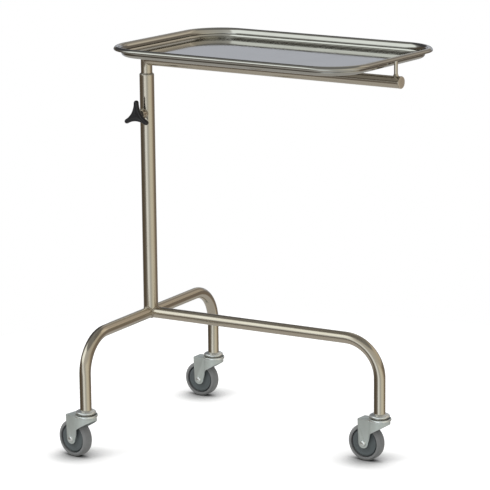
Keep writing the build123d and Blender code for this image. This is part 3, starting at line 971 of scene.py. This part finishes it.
def forkAndRaces(corner):
    s = casterSizes
    fork = easedCopy(corner + "Fork", corner + "_fork", s["forkEase"] * mm, "bright_zinc")
    adopt(fork, corner + "_swivel", "bright_zinc", corner + "_fork")
    place = casterPlace(corner)
    dish, (foot, top) = s["dishRadius"], s["ballSpan"]
    mid = (foot + top) / 2
    lip = lathe(corner + "ForkLip", rounded([
        (dish - 2.2, foot + 0.4, 0.3), (dish - 1.0, foot - 1.0, 0.5), (dish + 0.2, foot + 0.8, 1.5),
        (dish + 0.2, foot + 3.6, 1.2), (dish - 0.8, foot + 4.6, 0.7), (dish - 2.2, foot + 4.3, 0.5),
    ], 0.4), place, "polished_zinc", steps=72)
    adopt(lip, corner + "_swivel", "bright_zinc")
    race, hub, low = s["raceRadius"], s["raceHub"], s["raceLow"]
    upper = lathe(corner + "TopRace", rounded([
        (5, low, 0), (race - 1.2, low, 0.5), (race, low + 0.9, 0.7), (race, low + 3.1, 2.2),
        (race - 1.8, low + 4.8, 2.5), (hub + 1.0, low + 6.0, 2), (hub - 1.4, s["legEnd"], 0.5),
        (5, s["legEnd"], 0),
    ], 0.4), place, "polished_zinc", steps=72)
    adopt(upper, "frame", "bright_zinc", corner + "_top_race")
    end, tip = s["pinSpan"]
    pin = lathe(corner + "Kingpin", rounded([
        (0, end), (5.6, end + 0.1, 2), (8.6, end + 1.1, 1), (9.0, end + 2.8, 0.3), (5.0, end + 3.0, 0),
        (5.0, tip - 0.6, 0.3), (4.4, tip, 0.1), (0, tip),
    ], 0.3), place, "pin_steel", steps=40)
    adopt(pin, "frame", "pin_steel", corner + "_kingpin")
    race = lathe(corner + "BallRace", rounded([
        (13.2, foot, 0), (19.0, foot, 0.3), (19.0, mid - 1.6, 0.5), (17.8, mid - 1.0, 0.3),
        (16.8, mid - 1.8, 0.8), (15.6, mid - 0.8, 0.3), (15.6, mid + 0.8, 0.3), (16.8, mid + 1.8, 0.8),
        (17.8, mid + 1.0, 0.3), (19.0, mid + 1.6, 0.5), (19.0, top, 0.3), (13.2, top, 0),
    ], 0.3), place, "pin_steel", steps=64)
    adopt(race, corner + "_swivel", "pin_steel", corner + "_bearing_ring")
    mesh = runTree(ballTree, pathObject([(0, 0, 0), (0, 0, 1)]), {
        "Balls": s["balls"], "Ring radius": s["ballCircle"] * mm, "Ball radius": s["ball"] * mm,
        "Material": finishes["pin_steel"],
    }, corner + "Balls")
    mesh.transform(place @ Matrix.Translation((0, 0, mid * mm)))
    balls = finishMesh(corner + "Balls", mesh, "pin_steel", 60.0)
    adopt(balls, corner + "_swivel", "pin_steel")


for corner in casters:
    wheelTyre(corner)
    wheelHub(corner)
    axleFasteners(corner)
    forkAndRaces(corner)
print("casters made")

# floor and light
# floor size, tone and white lift, the reach and strength of its painted contact shadow, and a slight warm
# tint
stageSpec = {"floorRadius": 1.15, "floorTone": 0.82, "lift": 0.44, "paintedShadowReach": 0.075,
             "paintedShadowPower": 1.9, "warmth": 0.995}


def seenRays(tree):
    # what the camera sees straight, and what it sees straight or in a mirror
    path = tree.nodes.new("ShaderNodeLightPath").outputs
    mirrored = mathNode(tree, "MAXIMUM", path["Is Glossy Ray"], path["Is Transmission Ray"])
    return path["Is Camera Ray"], mathNode(tree, "MAXIMUM", path["Is Camera Ray"], mirrored)


def softFloor():
    # a round pale table; what the camera sees is lifted to white, and keeps the shadows; its colour and glow
    # are also darkened by ambient occlusion where the stand comes close, a painted contact shadow
    mesh = bpy.data.meshes.new("floor")
    work = bmesh.new()
    bmesh.ops.create_circle(work, cap_ends=True, segments=96, radius=stageSpec["floorRadius"])
    work.to_mesh(mesh)
    work.free()
    floor = addObject("floor", mesh)
    floor.visible_glossy = False
    material, tree, shader = startMaterial("paleFloor")
    tone = stageSpec["floorTone"]
    pale = mixColours(tree, objectNoise(tree, 1.5, Detail=2.0), (tone, tone, tone, 1),
                      (tone, tone, tone * stageSpec["warmth"], 1))
    # painted contact shadow: ambient occlusion darkens the floor's colour round the wheels and tubes
    paintedShadowAO = addNode(tree, "ShaderNodeAmbientOcclusion", samples=8, Distance=stageSpec["paintedShadowReach"])
    paintedShadowFactor = mathNode(tree, "POWER", paintedShadowAO.outputs["AO"], stageSpec["paintedShadowPower"])
    feed(tree, shader.inputs["Base Color"], mixColours(tree, paintedShadowFactor, (0, 0, 0, 1), pale))
    shader.inputs["Roughness"].default_value = 0.9
    shader.inputs["Specular IOR Level"].default_value = 0.0
    lifted = times(tree, seenRays(tree)[1], stageSpec["lift"])
    # the white glow is dimmed by the same painted contact shadow
    glow = addNode(tree, "ShaderNodeEmission", Color=(1, 1, 1, 1),
                   Strength=times(tree, lifted, paintedShadowFactor))
    both = addNode(tree, "ShaderNodeAddShader", shader.outputs[0], glow.outputs[0])
    feed(tree, tree.nodes["Material Output"].inputs["Surface"], both.outputs[0])
    mesh.materials.append(material)


def toneRamp(tree, factor, stops):
    made = addNode(tree, "ShaderNodeValToRGB", factor)
    ramp = made.color_ramp
    ramp.interpolation = "LINEAR"
    while len(ramp.elements) < len(stops):
        ramp.elements.new(0.5)
    for element, (place, tone) in zip(ramp.elements, stops):
        element.position = place
        element.color = (*tone, 1)
    return made.outputs["Color"]


def smoothStep(tree, value, low, high):
    return mapped(tree, value, low, high, interpolation_type="SMOOTHSTEP")


def bandMask(tree, value, low, lowEnd, high, highEnd):
    # rises over the first span and falls over the second
    fall = mathNode(tree, "SUBTRACT", 1.0, smoothStep(tree, value, high, highEnd))
    return times(tree, smoothStep(tree, value, low, lowEnd), fall)


# the studio round the stand, by compass turn and height: dark curtain, lamp windows, pale walls
curtain, slot, window, wall, warmWall, rear, dim = (
    (0.13, 0.108, 0.078), (1.08, 1.14, 1.16), (1.4, 1.48, 1.44), (0.84, 0.82, 0.7), (0.66, 0.6, 0.48),
    (0.53, 0.55, 0.6), (0.08, 0.08, 0.085))
lowStops = [
    (0.0, curtain), (0.085, curtain), (0.165, (0.2, 0.18, 0.16)), (0.205, (0.32, 0.32, 0.3)),
    (0.232, slot), (0.293, slot), (0.325, (0.66, 0.69, 0.68)), (0.36, (0.58, 0.6, 0.57)),
    (0.43, wall), (0.49, wall), (0.555, warmWall), (0.6, (0.3, 0.25, 0.2)),
    (0.68, (0.24, 0.2, 0.16)), (0.79, (0.26, 0.24, 0.22)), (0.83, rear), (0.915, rear),
    (0.95, (0.22, 0.2, 0.18)), (0.975, curtain), (1.0, curtain),
]
highStops = [
    (0.0, (0.24, 0.24, 0.23)), (0.03, (0.4, 0.4, 0.39)), (0.06, window), (0.185, window),
    (0.215, (0.72, 0.72, 0.68)), (0.3, (0.62, 0.62, 0.58)), (0.5, (0.62, 0.58, 0.49)),
    (0.6, (0.62, 0.56, 0.45)), (0.645, (0.95, 0.86, 0.7)), (0.672, (0.5, 0.44, 0.36)),
    (0.706, (0.62, 0.56, 0.48)), (0.735, (0.36, 0.32, 0.28)), (0.772, (0.3, 0.28, 0.25)),
    (0.798, (0.58, 0.55, 0.5)), (0.825, (0.46, 0.45, 0.42)), (0.85, dim), (0.94, dim),
    (0.975, (0.12, 0.12, 0.115)), (1.0, (0.24, 0.24, 0.23)),
]
studioSpec = {
    "windowFoot": (0.17, 0.27), "windowTop": (0.72, 0.8), "floorEdge": (0.32, 0.5),
    "ceiling": (0.27, 0.27, 0.255, 1), "ground": (0.54, 0.53, 0.5, 1), "lean": 0.17, "leanFrom": 0.22,
    "behind": (0.78, 0.81, 0.9, 0.94), "behindHeight": (-0.12, 0.0, 0.06, 0.11),
    "fill": (0.55, 0.55, 0.55, 1),
}


def behindBand(tree, turn, height):
    # the dark skirting behind the stand, which draws the black line along the tray's rim
    return times(tree, bandMask(tree, turn, *studioSpec["behind"]),
                 bandMask(tree, height, *studioSpec["behindHeight"]))


def studioView(tree):
    spot = tree.nodes.new("ShaderNodeTexCoord").outputs["Generated"]
    x, y, height = addNode(tree, "ShaderNodeSeparateXYZ", spot).outputs
    angle = mathNode(tree, "ARCTAN2", y, x)
    turn = mathNode(tree, "ADD", mathNode(tree, "DIVIDE", angle, 2 * math.pi), 0.5)
    raised = mathNode(tree, "ADD", height, studioSpec["leanFrom"])
    lean = times(tree, raised, studioSpec["lean"])
    low = toneRamp(tree, mathNode(tree, "ADD", turn, lean), lowStops)
    low = mixColours(tree, behindBand(tree, turn, height), low, (*dim, 1))
    high = toneRamp(tree, turn, highStops)
    walls = mixColours(tree, smoothStep(tree, height, *studioSpec["windowFoot"]), low, high)
    above = smoothStep(tree, height, *studioSpec["windowTop"])
    below = smoothStep(tree, times(tree, height, -1.0), *studioSpec["floorEdge"])
    room = mixColours(tree, above, walls, studioSpec["ceiling"])
    return mixColours(tree, below, room, studioSpec["ground"])


def softWorld():
    world = bpy.data.worlds.new("studio")
    bpy.context.scene.world = world
    world.use_nodes = True
    tree = world.node_tree
    background = tree.nodes["Background"]
    straight, seen = seenRays(tree)
    shade = mixColours(tree, straight, studioView(tree), (1, 1, 1, 1))
    feed(tree, background.inputs["Color"], mixColours(tree, seen, studioSpec["fill"], shade))
    background.inputs["Strength"].default_value = 1.0


lamps = {
    "keyLamp": {"place": (-2.2, -3.0, 3.4), "size": 2.4, "power": 70, "aim": (0, 0, 0.4)},
    "fillLamp": {"place": (3.4, -2.2, 2.6), "size": 2.8, "power": 16, "aim": (0, 0, 0.4)},
    "topLamp": {"place": (0.2, 0.6, 4.2), "size": 3.2, "power": 60, "aim": (0, 0, 0.2)},
}


def softLamps():
    for name, spec in lamps.items():
        data = bpy.data.lights.new(name, "AREA")
        data.shape = "SQUARE"
        data.size = spec["size"]
        data.energy = spec["power"]
        lamp = addObject(name, data)
        lamp.location = spec["place"]
        toAim = Vector(spec["aim"]) - Vector(spec["place"])
        lamp.rotation_euler = toAim.to_track_quat("-Z", "Y").to_euler()
        lamp.visible_glossy = False


softFloor()
softWorld()
softLamps()
for node, piece in frame["nodes"].items():
    slotName = next(s["material_slot"] for s in frame["record"]["subparts"] if s["node"] == node)
    piece.data.materials.clear()
    piece.data.materials.append(finishes[slotName])
bpy.context.scene.view_settings.view_transform = "Standard"
print("stage and light set")
